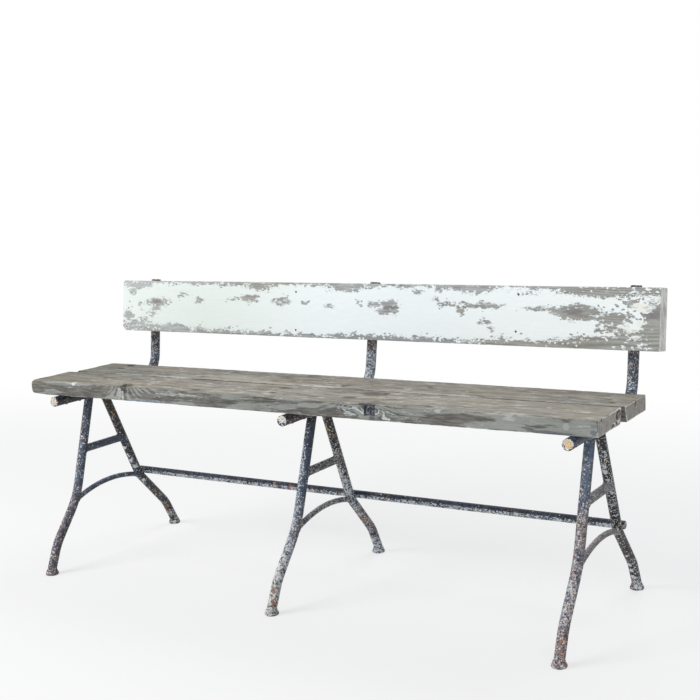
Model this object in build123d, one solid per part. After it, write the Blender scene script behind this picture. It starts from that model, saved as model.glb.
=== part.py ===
from build123d import *
import os
from math import radians, tan

# A plank bench with a back board, carried by three iron trestles.
# X runs along the seat, the sitter faces -Y and the floor is z = 0. Sizes are in millimetres.

# seat and back board, with overhangs past the middles of the outer trestles' feet
seat_height = 480.0  # floor to the top of the seat
seat_front = 171.0  # the seat's front edge, in front of the middle of the feet
front_plank_left_overhang = 100.5
front_plank_right_overhang = 59.5
front_plank_width = 144.0
rear_plank_left_overhang = 76.0
rear_plank_right_overhang = 64.0
rear_plank_width = 140.0
plank_gap = 4.0  # between the planks' upper edges
plank_thickness = 36.0
front_plank_undercut = 10.0  # the waney rear edge leans in by this much at its foot
rear_plank_undercut = 12.0
plank_edge_radius = 4.0
seat_corner_radius = 12.0  # the worn front corner at the left end
board_left_overhang = 74.5
board_right_overhang = 79.5
board_height = 138.0
board_thickness = 46.0
board_edge_radius = 3.0

# row of trestles
trestle_spacing = 675.0
outer_lean = 0.45  # degrees outwards
middle_offset = -5.0  # the middle trestle stands out of line
middle_lean = 2.0  # and leans towards +X, in degrees

# back bar: the seat bearer and the back's upright, bent from one bar
bar_diameter = 25.0
nose_reach = 188.0  # the bearer's front end, in front of the middle of the feet
back_heel = 204.0  # where the upright's axis would meet the bearer's
back_bend_radius = 70.0
back_lean = 7.5  # degrees from the vertical
tip_height = 698.0
tip_above_board = 5.0  # the upright ends this far above the board
bar_end_chamfer = 1.2

# legs, as bends in one round bar each
leg_diameter = 22.5
front_leg_top = 58.5  # the leg's axis at the bearer, in front of the middle
front_knee_reach = 136.0
front_knee_height = 172.0
front_knee_radius = 198.0
front_ankle_reach = 218.0
front_ankle_height = 71.5
front_ankle_radius = 140.0
rear_leg_top = -10.0  # behind the middle where positive
rear_knee_reach = 108.0
rear_knee_height = 176.0
rear_knee_radius = 90.0
rear_ankle_reach = 209.0
rear_ankle_height = 73.0
rear_ankle_radius = 97.0
foot_reach = 243.0  # middle of a foot, from the middle of the bench

# feet
foot_diameter = 32.0
foot_height = 12.0
foot_rim_height = 5.5
foot_rim_chamfer = 1.5
foot_neck_margin = 2.0  # the foot's top stands out round the leg

# cross pieces
crossbar_diameter = 20.0
crossbar_height = 291.0
brace_diameter = 13.0
brace_front_height = 163.0
brace_rear_height = 173.0
brace_rise = 23.0  # of the arch over the line between its ends
stretcher_diameter = 19.0
stretcher_leg_height = 171.0  # where the stretcher rests on the rear legs
stretcher_seat_depth = 0.8  # filed into the stretcher where it crosses a leg
stretcher_overhang = 12.0  # past the outer trestles' middles

# screws
screw_diameter = 5.0
screw_head_diameter = 9.0
screw_head_height = 3.2
screw_dome_fullness = 0.72  # 1 would be square, 0.5 a cone
screw_slot_width = 1.2
screw_slot_depth = 1.4
screw_point_length = 4.0
seat_screw_grip = 26.0  # length in the wood
board_screw_grip = 30.0
screw_hole_clearance = 0.5
spot_face_depth = 1.4  # flat cut in the round bar under a screw head
spot_face_clearance = 1.0
screw_from_plank_edge = 26.0
screw_from_leg_top = 38.0
screw_from_board_edge = 34.0

trestle_shift = (front_plank_left_overhang - board_right_overhang) / 2
bar_radius = bar_diameter / 2
bearer_level = seat_height - plank_thickness - bar_radius
tip_reach = back_heel + (tip_height - bearer_level) * tan(radians(back_lean))
joint_front = -seat_front + front_plank_width
joint_rear = joint_front + plank_gap
seat_rear = joint_rear + rear_plank_width


def at(y, z):
    # a point in a trestle's own plane
    return Vector(0, y, z)


def round_bar(path, diameter):
    # a round bar whose axis follows the path
    section = Plane(origin=path @ 0, z_dir=path % 0) * Circle(diameter / 2)
    return sweep(section, path=path)


def leg_path(side, top, knee, ankle, radii):
    # from the bearer's axis down through the foot's top, side is -1 in front and 1 behind
    foot_top = at(side * foot_reach, foot_height)
    run_in = (foot_top - ankle).normalized() * leg_diameter / 2
    return FilletPolyline(at(top, bearer_level), knee, ankle, foot_top + run_in, radius=radii)


def axis_point(path, height):
    # place on a falling path, from 0 to 1, where it passes the height
    above, below = 0.0, 1.0
    for _ in range(40):
        middle = (above + below) / 2
        if (path @ middle).Z > height:
            above = middle
        else:
            below = middle
    return above


back_path = FilletPolyline(
    at(-nose_reach, bearer_level),
    at(back_heel, bearer_level),
    at(tip_reach, tip_height),
    radius=back_bend_radius,
)
front_leg_path = leg_path(
    -1,
    -front_leg_top,
    at(-front_knee_reach, front_knee_height),
    at(-front_ankle_reach, front_ankle_height),
    [front_knee_radius, front_ankle_radius],
)
rear_leg_path = leg_path(
    1,
    rear_leg_top,
    at(rear_knee_reach, rear_knee_height),
    at(rear_ankle_reach, rear_ankle_height),
    [rear_knee_radius, rear_ankle_radius],
)

# the upright's own frame: its tip, Z up along its axis, Y towards the rear
upright_frame = Pos(0, tip_reach, tip_height) * Rot(-back_lean, 0, 0)


def screw(grip):
    # head below z = 0, which bears on the spot face, and shank upwards
    length = bar_diameter - spot_face_depth + grip
    head_radius = screw_head_diameter / 2
    shank_radius = screw_diameter / 2
    profile = Polyline(
        (head_radius, 0),
        (shank_radius, 0),
        (shank_radius, length - screw_point_length),
        (0, length),
        (0, -screw_head_height),
    )
    dome = ThreePointArc(
        (0, -screw_head_height),
        (head_radius * screw_dome_fullness, -screw_head_height * screw_dome_fullness),
        (head_radius, 0),
    )
    body = revolve(Plane.XZ * make_face([profile, dome]), axis=Axis.Z)
    slot = Box(screw_head_diameter, screw_slot_width, screw_slot_depth)
    return body - Pos(0, 0, -screw_head_height + screw_slot_depth / 2) * slot


def screw_drilling():
    # clearance hole and spot face that a bar gets for one screw, in the screw's own frame
    hole = Cylinder((screw_diameter + screw_hole_clearance) / 2, 2 * bar_diameter)
    spot_radius = (screw_head_diameter + spot_face_clearance) / 2
    spot = Cylinder(spot_radius, bar_diameter, align=(Align.CENTER, Align.CENTER, Align.MAX))
    return hole + spot


def seat_screw_frames():
    head_level = bearer_level - bar_radius + spot_face_depth
    places = [
        -seat_front + screw_from_plank_edge,
        -front_leg_top - screw_from_leg_top,
        rear_leg_top + screw_from_leg_top,
        seat_rear - screw_from_plank_edge,
    ]
    return [Pos(0, y, head_level) for y in places]


def board_screw_frames():
    from_tip = [screw_from_board_edge, board_height - screw_from_board_edge]
    face = bar_radius - spot_face_depth
    return [upright_frame * Pos(0, face, -tip_above_board - d) * Rot(90, 0, 0) for d in from_tip]


def back_bar():
    bar = round_bar(back_path, bar_diameter)
    ends = bar.faces().filter_by(GeomType.PLANE)
    bar = chamfer(ends.edges(), bar_end_chamfer)
    for frame in seat_screw_frames() + board_screw_frames():
        bar -= frame * screw_drilling()
    return bar


def crossbar():
    front = front_leg_path @ axis_point(front_leg_path, crossbar_height)
    rear = rear_leg_path @ axis_point(rear_leg_path, crossbar_height)
    return round_bar(Line(front, rear), crossbar_diameter)


def arch_brace():
    front = front_leg_path @ axis_point(front_leg_path, brace_front_height)
    rear = rear_leg_path @ axis_point(rear_leg_path, brace_rear_height)
    along = (rear - front).normalized()
    crown = (front + rear) / 2 + at(-along.Z, along.Y) * brace_rise
    return round_bar(ThreePointArc(front, crown, rear), brace_diameter)


def foot():
    # a flared round foot, flat on the floor
    radius = foot_diameter / 2
    neck = leg_diameter / 2 + foot_neck_margin
    flare_mid = ((radius + neck) / 2 - foot_rim_chamfer / 2, (foot_rim_height + foot_height) / 2)
    profile = Polyline(
        (neck, foot_height),
        (0, foot_height),
        (0, 0),
        (radius - foot_rim_chamfer, 0),
        (radius, foot_rim_chamfer),
        (radius, foot_rim_height),
    )
    flare = ThreePointArc((radius, foot_rim_height), flare_mid, (neck, foot_height))
    return revolve(Plane.XZ * make_face([profile, flare]), axis=Axis.Z)


def trestle(middle, lean):
    # the pieces of one trestle, coped to each other where they stand
    place = Pos(middle, 0, 0) * Rot(0, lean, 0)
    floor_side = Plane.XY.offset(foot_height)
    bar = place * back_bar()
    bearer = place * round_bar(back_path, bar_diameter)
    front_leg = split(place * round_bar(front_leg_path, leg_diameter), floor_side) - bearer
    rear_leg = split(place * round_bar(rear_leg_path, leg_diameter), floor_side) - bearer
    return {
        "back_bar": bar,
        "front_leg": front_leg,
        "rear_leg": rear_leg,
        "crossbar": place * crossbar() - front_leg - rear_leg,
        "arch_brace": place * arch_brace() - front_leg - rear_leg,
        "front_foot": Pos(middle, -foot_reach, 0) * foot(),
        "rear_foot": Pos(middle, foot_reach, 0) * foot(),
    }


def trestle_screws(middle, lean):
    place = Pos(middle, 0, 0) * Rot(0, lean, 0)
    seat = [place * frame * screw(seat_screw_grip) for frame in seat_screw_frames()]
    board = [place * frame * screw(board_screw_grip) for frame in board_screw_frames()]
    return seat, board


def span(left_overhang, right_overhang):
    # length and middle, along X, of a board that runs past the outer trestles
    length = 2 * trestle_spacing + left_overhang + right_overhang
    return length, trestle_shift + (right_overhang - left_overhang) / 2


def plank(left_overhang, right_overhang, outline):
    # a sawn board whose section, in Y and Z, is the outline
    length, middle = span(left_overhang, right_overhang)
    section = Plane.YZ * make_face(Polyline(*outline, close=True))
    return Pos(middle, 0, 0) * extrude(section, length / 2, both=True)


def eased(board, radius):
    # takes the sharpness off the lengthwise edges
    return fillet(board.edges().filter_by(Axis.X), radius)


def seat_front_plank(screws):
    under = seat_height - plank_thickness
    outline = [
        (-seat_front, under),
        (-seat_front, seat_height),
        (joint_front, seat_height),
        (joint_front - front_plank_undercut, under),
    ]
    solid = plank(front_plank_left_overhang, front_plank_right_overhang, outline)
    corner = solid.edges().filter_by(Axis.Z).sort_by(Axis.X)[0]
    solid = fillet(corner, seat_corner_radius)
    return eased(solid, plank_edge_radius) - screws


def seat_rear_plank(screws):
    under = seat_height - plank_thickness
    outline = [
        (joint_rear + rear_plank_undercut, under),
        (joint_rear, seat_height),
        (seat_rear, seat_height),
        (seat_rear, under),
    ]
    solid = plank(rear_plank_left_overhang, rear_plank_right_overhang, outline)
    return eased(solid, plank_edge_radius) - screws


def back_board(screws):
    length, middle = span(board_left_overhang, board_right_overhang)
    solid = eased(Box(length, board_thickness, board_height), board_edge_radius)
    in_front = -bar_radius - board_thickness / 2
    solid = upright_frame * Pos(middle, in_front, -tip_above_board - board_height / 2) * solid
    return solid - screws


def stretcher(rear_legs):
    # lies against the backs of the rear legs and is filed to sit on each
    place = axis_point(rear_leg_path, stretcher_leg_height)
    down = rear_leg_path % place
    stand_off = (leg_diameter + stretcher_diameter) / 2 - stretcher_seat_depth
    centre = rear_leg_path @ place + at(-down.Z, down.Y) * stand_off
    length = 2 * (trestle_spacing + stretcher_overhang)
    rod = Cylinder(stretcher_diameter / 2, length)
    rod = chamfer(rod.edges().filter_by(GeomType.CIRCLE), bar_end_chamfer)
    rod = Pos(trestle_shift, centre.Y, centre.Z) * Rot(0, 90, 0) * rod
    for leg in rear_legs:
        rod -= leg
    return rod


def bench():
    rows = {
        "left": (-trestle_spacing, -outer_lean),
        "middle": (middle_offset, middle_lean),
        "right": (trestle_spacing, outer_lean),
    }
    parts = {}
    seat_screws = []
    board_screws = []
    for name, (offset, lean) in rows.items():
        for piece, solid in trestle(trestle_shift + offset, lean).items():
            parts[f"{name}_{piece}"] = solid
        seat, board = trestle_screws(trestle_shift + offset, lean)
        seat_screws += seat
        board_screws += board
    parts["stretcher_rod"] = stretcher([parts[f"{name}_rear_leg"] for name in rows])
    parts["seat_front_plank"] = seat_front_plank(seat_screws)
    parts["seat_rear_plank"] = seat_rear_plank(seat_screws)
    parts["back_board"] = back_board(board_screws)
    parts["seat_screws"] = Compound(children=seat_screws)
    parts["board_screws"] = Compound(children=board_screws)
    return parts


os.makedirs("parts", exist_ok=True)
for node, shape in bench().items():
    export_step(shape, f"parts/{node}.step")
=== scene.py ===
# Plank bench on bent iron trestles: worn timber, flaking paint, rusty iron, welds, studio.

import math
from collections import namedtuple
from functools import partialmethod, reduce
from types import SimpleNamespace

import bpy
from mathutils import Matrix, Vector


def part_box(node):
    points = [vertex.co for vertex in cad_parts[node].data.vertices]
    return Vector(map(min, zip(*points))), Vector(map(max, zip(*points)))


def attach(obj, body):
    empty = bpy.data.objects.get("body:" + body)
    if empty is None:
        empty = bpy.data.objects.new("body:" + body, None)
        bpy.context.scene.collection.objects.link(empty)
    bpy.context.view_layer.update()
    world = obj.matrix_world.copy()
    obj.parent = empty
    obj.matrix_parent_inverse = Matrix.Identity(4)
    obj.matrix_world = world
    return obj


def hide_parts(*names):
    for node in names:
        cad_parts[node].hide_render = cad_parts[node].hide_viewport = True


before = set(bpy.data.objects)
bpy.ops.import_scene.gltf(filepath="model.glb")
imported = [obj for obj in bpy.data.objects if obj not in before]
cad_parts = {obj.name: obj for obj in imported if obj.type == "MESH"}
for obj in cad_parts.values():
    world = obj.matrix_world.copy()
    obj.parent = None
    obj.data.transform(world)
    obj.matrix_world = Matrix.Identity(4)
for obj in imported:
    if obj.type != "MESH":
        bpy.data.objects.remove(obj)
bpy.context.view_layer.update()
scene = bpy.context.scene
print("frame: ", len(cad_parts), "nodes")

fullTurn = 2 * math.pi


class Wire:
    # a socket that does sums: numbers add Math nodes, vectors add Vector Math nodes

    def __init__(self, graph, socket):
        self.graph = graph
        self.socket = socket

    def run(self, operation, *others, swap=False):
        isVector = self.socket.type == "VECTOR"
        kind = "ShaderNodeVectorMath" if isVector else "ShaderNodeMath"
        terms = (others[0], self) if swap else (self, *others)
        out = 1 if operation == "LENGTH" else 0
        return self.graph.node(kind, {"operation": operation}, dict(enumerate(terms)), out)

    __add__ = __radd__ = partialmethod(run, "ADD")
    __sub__ = partialmethod(run, "SUBTRACT")
    __rsub__ = partialmethod(run, "SUBTRACT", swap=True)
    __mul__ = __rmul__ = partialmethod(run, "MULTIPLY")
    __truediv__ = partialmethod(run, "DIVIDE")
    __pow__ = partialmethod(run, "POWER")
    __lt__ = partialmethod(run, "LESS_THAN")
    __gt__ = partialmethod(run, "GREATER_THAN")
    __abs__ = partialmethod(run, "ABSOLUTE")
    least = partialmethod(run, "MINIMUM")
    most = partialmethod(run, "MAXIMUM")
    length = partialmethod(run, "LENGTH")
    sine = partialmethod(run, "SINE")

    def ripple(self):
        # from 0 to 1 and back in each full turn
        return self.sine() * 0.5 + 0.5

    def steps(self, low, high):
        # 0 up to low, 1 from high, smooth between; low may be the larger
        return self.graph.node(
            "ShaderNodeMapRange",
            {"interpolation_type": "SMOOTHSTEP"},
            {"Value": self, "From Min": low, "From Max": high, "To Min": 0.0, "To Max": 1.0},
        )


class Graph:
    # a node tree, and the one way that nodes are added to it; a colour given as three numbers is
    # in screen values, 0 to 255

    def __init__(self, tree):
        self.tree = tree

    def node(self, kind, settings=(), inputs=(), out=0):
        made = self.tree.nodes.new(kind)
        for name, value in dict(settings).items():
            setattr(made, name, value)
        for name, value in dict(inputs).items():
            socket = made.inputs[name]
            if isinstance(value, Wire):
                self.tree.links.new(value.socket, socket)
            elif socket.type == "VECTOR" and isinstance(value, (int, float)):
                socket.default_value = (value,) * 3
            elif socket.type == "RGBA" and len(value) == 3:
                socket.default_value = tone(*value)
            else:
                socket.default_value = value
        if isinstance(out, tuple):
            return [Wire(self, made.outputs[name]) for name in out]
        return Wire(self, made.outputs[out]) if made.outputs else None

    def split(self, vector):
        return self.node("ShaderNodeSeparateXYZ", {}, {0: vector}, ("X", "Y", "Z"))

    def join(self, x, y, z):
        return self.node("ShaderNodeCombineXYZ", {}, {0: x, 1: y, 2: z})

    def facing(self):
        # the way that the surface faces
        return self.split(self.node("ShaderNodeNewGeometry", out="True Normal"))

    def noise(self, place, scale, detail=3.0, roughness=0.55, distortion=0.0, out=0, seed=None):
        # one scale, or one for each way; a seed makes it a noise of its own
        if isinstance(scale, tuple):
            place, scale = place * scale, 1.0
        settings = {}
        inputs = {"Vector": place, "Scale": scale, "Detail": detail, "Roughness": roughness}
        inputs["Distortion"] = distortion
        if seed is not None:
            settings["noise_dimensions"] = "4D"
            inputs["W"] = seed
        return self.node("ShaderNodeTexNoise", settings, inputs, out)

    def sway(self, place, stretch, reach, detail=2.0):
        # a place pushed about by a noise
        push = self.noise(place * stretch, 1.0, detail, 0.6, out="Color")
        push = self.node("ShaderNodeVectorMath", {"operation": "SUBTRACT"}, {0: push, 1: 0.5})
        return place + push * reach

    def chips(self, place, scale):
        # three even random numbers for each small cell of the surface
        cells = self.node("ShaderNodeTexVoronoi", {}, {"Vector": place, "Scale": scale}, "Color")
        return self.split(cells)

    def mix(self, share, first, second):
        # colours
        return self.node("ShaderNodeMix", {"data_type": "RGBA"}, {0: share, 6: first, 7: second}, 2)

    def layer(self, colour, *layers):
        # lays colours over the first one: pairs of a share and a colour
        for share, above in layers:
            colour = self.mix(share, colour, above)
        return colour

    def bump(self, height, depth, normal=None):
        inputs = {"Height": height, "Distance": depth, "Strength": 1.0}
        if normal is not None:
            inputs["Normal"] = normal
        return self.node("ShaderNodeBump", {}, inputs)


def largest(*parts):
    # the largest of some numbers, leaving out their signs
    return reduce(Wire.most, [abs(part) for part in parts])


def cover(pattern, share, edge=0.02):
    # 1 on roughly this share of the surface, where the noise is highest
    highest, span = 0.655, 0.31  # nearly all of a noise lies within this span
    limit = highest - share * span
    return pattern.steps(limit - edge, limit + edge)


def along(place, stops):
    # a value that eases from stop to stop: (place, value) pairs, or one number
    if isinstance(stops, (int, float)):
        return stops
    value = stops[0][1]
    for (start, before), (end, after) in zip(stops, stops[1:]):
        value = place.steps(start, end) * (after - before) + value
    return value


def fromSpot(place, x, z, wide=1.0, high=1.0):
    # distance from a spot, seen from the front: in metres, or in a patch's half sizes
    return ((place - (x, 0.0, z)) * (1 / wide, 0.0, 1 / high)).length()


def tone(red, green, blue):
    # screen values 0 to 255 to a linear colour
    def linear(c):
        c /= 255
        return c / 12.92 if c <= 0.04045 else ((c + 0.055) / 1.055) ** 2.4

    return (linear(red), linear(green), linear(blue), 1.0)


def newMaterial(name):
    material = bpy.data.materials.new(name)
    material.use_nodes = True
    material.node_tree.nodes.clear()
    graph = Graph(material.node_tree)
    return material, graph, graph.node("ShaderNodeTexCoord", out="Object")


def finishMaterial(graph, colour, roughness, normal, specular=0.5, metallic=0.0):
    inputs = {"Base Color": colour, "Roughness": roughness, "Metallic": metallic}
    inputs["Specular IOR Level"] = specular
    inputs["Normal"] = normal
    shader = graph.node("ShaderNodeBsdfPrincipled", {}, inputs)
    graph.node("ShaderNodeOutputMaterial", {}, {"Surface": shader})


def addObject(name, data):
    made = bpy.data.objects.new(name, data)
    scene.collection.objects.link(made)
    return made


def growPiece(name, sizes, build, material, source=None):
    # runs a geometry tree once and keeps what it makes as a plain mesh
    tree = bpy.data.node_groups.new(name + "Tree", "GeometryNodeTree")

    def addSocket(label, way, kind):
        return tree.interface.new_socket(label, in_out=way, socket_type=kind).identifier

    if source:
        addSocket("Geometry", "INPUT", "NodeSocketGeometry")
    kinds = {float: "NodeSocketFloat", int: "NodeSocketInt"}
    ids = {label: addSocket(label, "INPUT", kinds[type(size)]) for label, size in sizes.items()}
    addSocket("Geometry", "OUTPUT", "NodeSocketGeometry")
    graph = Graph(tree)
    given = tree.nodes.new("NodeGroupInput")
    wires = {socket.name: Wire(graph, socket) for socket in given.outputs if socket.name}
    made = build(graph, wires)
    made = graph.node("GeometryNodeRealizeInstances", {}, {"Geometry": made})
    made = graph.node("GeometryNodeSetMaterial", {}, {"Geometry": made, "Material": material})
    graph.node("NodeGroupOutput", {}, {0: made})
    carrier = addObject(name + "Carrier", source or bpy.data.meshes.new(name))
    modifier = carrier.modifiers.new(name, "NODES")
    modifier.node_group = tree
    for label, size in sizes.items():
        modifier[ids[label]] = size
    ready = carrier.evaluated_get(bpy.context.evaluated_depsgraph_get())
    mesh = bpy.data.meshes.new_from_object(ready)
    mesh.name = name
    bpy.data.objects.remove(carrier)
    bpy.data.node_groups.remove(tree)
    return addObject(name, mesh)


# a branch in the wood: a point on it, its direction, its radius, how far round it the grain
# bends, by how many bands, and how much narrower that bend is up and down
Knot = namedtuple("Knot", "at along radius spread climb rise", defaults=[1.0])
# a spot where the surface is pushed in, its half sizes, the push, and its level middle's share
Dent = namedtuple("Dent", "at size push core", defaults=[0.5])
# a stain: half sizes, colour, strength, how torn its outline is, and a second colour in
# speckles; it can be kept to the swirls round the knots, or be square
Mark = namedtuple(
    "Mark", "at size colour strength torn speckled curled square", defaults=[None, False, False]
)
seatTop = 0.480
seatFront = -0.171


def topMark(x, y, wide, deep, *look):
    # reaches a little into the top
    return Mark((x, y, seatTop), (wide, deep, 0.012), *look)


def edgeMark(x, z, wide, high, *look, **more):
    # reaches a little into the front edge
    return Mark((x, seatFront, z), (wide, 0.02, high), *look, **more)


def grainField(graph, place, piece):
    # distance from the pith, that distance in bands climbing to each knot, nearness to a knot
    wood = piece["wood"]
    bent = graph.sway(place, wood["driftStretch"], wood["drift"])
    age = ((bent - (0.0, *wood["pith"])) * (0.0, 1.0, 1.0)).length()
    bands = age / wood["bandWidth"]
    shares = []
    for knot in piece["knots"]:
        away = (bent - knot.at) * (wood["knotDraw"], 1.0, knot.rise)
        near = away.run("CROSS_PRODUCT", Vector(knot.along).normalized()[:]).length()
        bands = bands - (near / -knot.spread).run("EXPONENT") * knot.climb
        shares.append(near / knot.radius)
    return age, bands, reduce(Wire.least, shares)


def seatGrain(graph, place, plank):
    # the patterns that the top, the edges and the ends share
    age, bands, core = grainField(graph, place, plank)
    fibre = graph.noise(place, (7.0, 330.0, 330.0), 4.0, 0.6)
    return SimpleNamespace(
        age=age, bands=bands, core=core, fibre=fibre,
        ring=(age * (fullTurn / plank["wood"]["ringWidth"]) + fibre * 3.0).ripple(),
        scratch=graph.noise(place, (24.0, 190.0, 190.0), 4.0, 0.65),
        mottle=graph.noise(place * (13.0, 58.0, 60.0) + (0.0, 3.0, 7.0), 1.0, 5.0, 0.66),
        grit=graph.noise(place, 300.0, 4.0, 0.7),
        cloud=graph.noise(place, (2.0, 9.0, 9.0)),
        blotch=graph.noise(place, (9.0, 26.0, 60.0), 4.0, 0.6),
        wisp=graph.noise(place, (30.0, 110.0, 140.0), 5.0, 0.7, 0.9),
    )


def topColour(graph, place, grain, wood):
    # mottled and lengthwise, with greyer and browner clouds
    x = graph.split(place)[0]
    streak = graph.noise(place, (3.0, 56.0, 56.0), 4.0, 0.6, 0.4).steps(0.36, 0.64)
    shade = streak * 0.34 + grain.fibre.steps(0.3, 0.7) * 0.16 + grain.ring * 0.10
    shade = shade + grain.mottle.steps(0.38, 0.62) * 0.40
    calm = x.steps(0.1, 0.45) * 0.35
    shade = shade * (1.0 - calm) + calm * 0.5 + x.steps(-0.3, 0.0) * 0.07
    dark = graph.mix(grain.cloud.steps(0.35, 0.65), wood["topBrown"], wood["topGrey"])
    pale = graph.mix(grain.cloud.steps(0.4, 0.7), wood["topSand"], wood["topSilver"])
    streaky = (grain.fibre - 0.5) * 0.35 + (grain.scratch - 0.5) * 0.25
    dash = graph.noise(place * (20.0, 60.0, 60.0) + (4.0, 0.0, 1.0), 1.0, 4.0, 0.62, 0.3)
    dash = cover(dash + streaky, 0.07 + grain.blotch * 0.12, 0.05)
    glint = graph.noise(place * (28.0, 60.0, 60.0) + (9.0, 2.0, 5.0), 1.0, 4.0, 0.62, 0.3)
    glint = cover(glint + streaky, 0.07 + grain.cloud * 0.12, 0.05)
    worn = cover(grain.mottle * 0.6 + grain.scratch * 0.4, 0.07 + grain.blotch * 0.08)
    weathered = x.steps(*wood["greyTowards"])
    return graph.layer(
        graph.mix(shade, dark, pale),
        (worn * 0.5, wood["topWorn"]),
        (dash * 0.6, wood["topDash"]),
        (glint * 0.6, wood["topWorn"]),
        (weathered * 0.72, graph.mix(shade, wood["topShade"], wood["topAsh"])),
    )


def edgeColour(graph, place, nz, grain, plank):
    # broad uneven bands that part round the knots, with fine pale wisps
    wood = plank["wood"]
    x = graph.split(place)[0]
    broad = graph.noise(graph.join(x * 6.0, grain.bands * 0.44, 0.0), 1.0, 4.0, 0.6, 0.5)
    uneven = (grain.blotch - 0.5) * 1.6
    for px, pz, wide, high, amount in plank["shades"]:
        reach = fromSpot(place, px, pz, wide, high) + uneven
        broad = broad + reach.steps(1.3, 0.5) * amount
    stripe = (grain.bands * (fullTurn * 1.25) + grain.wisp * 3.0).sine()
    broad = broad + stripe * grain.core.steps(6.5, 2.0) * abs(nz).steps(0.8, 0.4) * 0.12
    broad = broad + (grain.scratch - 0.5) * 0.24 + (grain.wisp - 0.5) * 0.22
    isPale = (broad + wood["edgeLightness"]).steps(0.44, 0.56)
    shine = grain.scratch.steps(0.35, 0.65)
    pale = graph.mix(grain.cloud.steps(0.4, 0.6), wood["edgePale"], wood["edgeGreen"])
    pale = graph.mix(shine * 0.4, pale, wood["edgeShine"])
    edge = graph.mix(isPale, graph.mix(shine, wood["edgeDark"], wood["edgeMid"]), pale)
    return graph.mix(cover(grain.wisp, 0.03 + grain.mottle * 0.10) * 0.5, edge, wood["wisp"])


def endColour(graph, place, grain, wood):
    # sawn across: rings round the pith, dusty
    rings = (grain.age * (fullTurn / wood["endRingWidth"])).ripple()
    saw = graph.noise(place, (20.0, 120.0, 30.0), 4.0, 0.65)
    shade = rings * 0.12 + grain.grit.steps(0.3, 0.7) * 0.54 + saw.steps(0.36, 0.64) * 0.34
    return graph.mix(shade, wood["endDark"], wood["endPale"])


def layMarks(graph, place, grain, colour, marks):
    swirl = (grain.bands * (fullTurn * 1.4) + grain.wisp * 7.0).sine().steps(0.35, 0.8)
    swirl = swirl * grain.grit.steps(0.3, 0.5)
    speckle = graph.noise(place, 190.0, 4.0, 0.75).steps(0.44, 0.58)
    tear = grain.wisp + grain.scratch - 1.0
    for mark in marks:
        reach = (place - mark.at) / mark.size
        reach = largest(*graph.split(reach)) if mark.square else reach.length()
        share = (reach + tear * mark.torn).steps(1.0, 0.8) * mark.strength
        if mark.curled:
            share = share * swirl
        shade = mark.colour
        if mark.speckled:
            shade = graph.mix(speckle, shade, mark.speckled)
        colour = graph.mix(share, colour, shade)
    return colour


def seatTimber(name, plank):
    material, graph, place = newMaterial(name)
    wood = plank["wood"]
    x = graph.split(place)[0]
    nx, ny, nz = graph.facing()
    sawn = abs(nx).steps(0.5, 0.9)
    atEnd = abs(nx).steps(0.15, 0.45)
    squareness = largest(nx, ny, nz)
    arris = squareness.steps(0.985, 0.9).most(atEnd * squareness.steps(0.998, 0.96))
    # faces towards the gap between the planks, which get painted shade
    inGap = (ny * plank["sizes"]["Undercut side"]).steps(0.3, 0.7)
    grain = seatGrain(graph, place, plank)
    heart = (grain.core + (grain.scratch - 0.5) * 1.4).steps(1.0, 0.55)
    split = graph.noise(place, (5.0, 150.0, 150.0), 3.0, 0.5, 0.8)
    crack = abs(split - 0.5).steps(0.012, 0.0) * grain.cloud.steps(0.5, 0.62) * (1.0 - sawn)
    toRight = x.steps(0.2, 0.5)
    wornShare = 0.32 + toRight * (atEnd * 0.6 + 0.3)
    rubbed = arris * cover(grain.mottle * 0.5 + grain.scratch * 0.5, wornShare)
    colour = graph.layer(
        edgeColour(graph, place, nz, grain, plank),
        (nz.steps(0.5, 0.85), topColour(graph, place, grain, wood)),
        (sawn, endColour(graph, place, grain, wood)),
        (heart * 0.75, wood["knot"]),
        (crack * 0.6, wood["crack"]),
        (rubbed * (0.5 + atEnd * toRight * 0.5), wood["rubbed"]),
        # painted shade on the faces in the gap
        (inGap * 0.55, wood["gapPaintedShade"]),
    )
    colour = layMarks(graph, place, grain, colour, plank["marks"])
    height = grain.ring * 0.3 + grain.fibre * 0.9 + grain.scratch * 0.8 - crack * 2.0 - heart * 0.4
    roughness = 0.78 + (grain.fibre - 0.5) * 0.2
    finishMaterial(graph, colour, roughness, graph.bump(height, 0.0011), 0.25)
    return material


def crowdedBlock(graph, given, halves):
    # the block starts larger, and its lines are then drawn in so that they crowd at the edges
    crowd = given["Edge crowding"]
    raws = [(half + (half * half + half * crowd * 4.0) ** 0.5) * 0.5 for half in halves]
    counts = {"Vertices " + way: given["Lines " + way] for way in "XYZ"}
    size = graph.join(*raws) * 2.0
    block = graph.node("GeometryNodeMeshCube", {}, {"Size": size, **counts}, "Mesh")
    place = graph.node("GeometryNodeInputPosition")
    crowded = []
    for here, half, raw in zip(graph.split(place), halves, raws):
        inset = raw - abs(here)
        crowded.append(here.run("SIGN") * (half - inset * inset / (inset + crowd)))
    return block, graph.join(*crowded)


def roundArrises(graph, flat, given, halves, grain):
    # worn more in some places than in others
    wear = grain((9.0, 14.0, 14.0), 3.0).steps(0.35, 0.75)
    nick = grain((34.0, 30.0, 30.0), 2.0).steps(0.6, 0.72)
    radius = given["Edge radius"] + wear * given["Edge wear"] + nick * given["Nicks"]
    toLeft = graph.split(flat)[0].steps(0.06 - halves[0], 0.01 - halves[0])
    radius = radius + toLeft * given["Left end wear"]
    inner = graph.join(*halves) - radius
    over = (abs(flat) - inner).most(0.0)
    keep = (radius / over.length().most(1e-6)).least(1.0)
    return (abs(flat).least(inner) + over * keep) * flat.run("SIGN")


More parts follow.
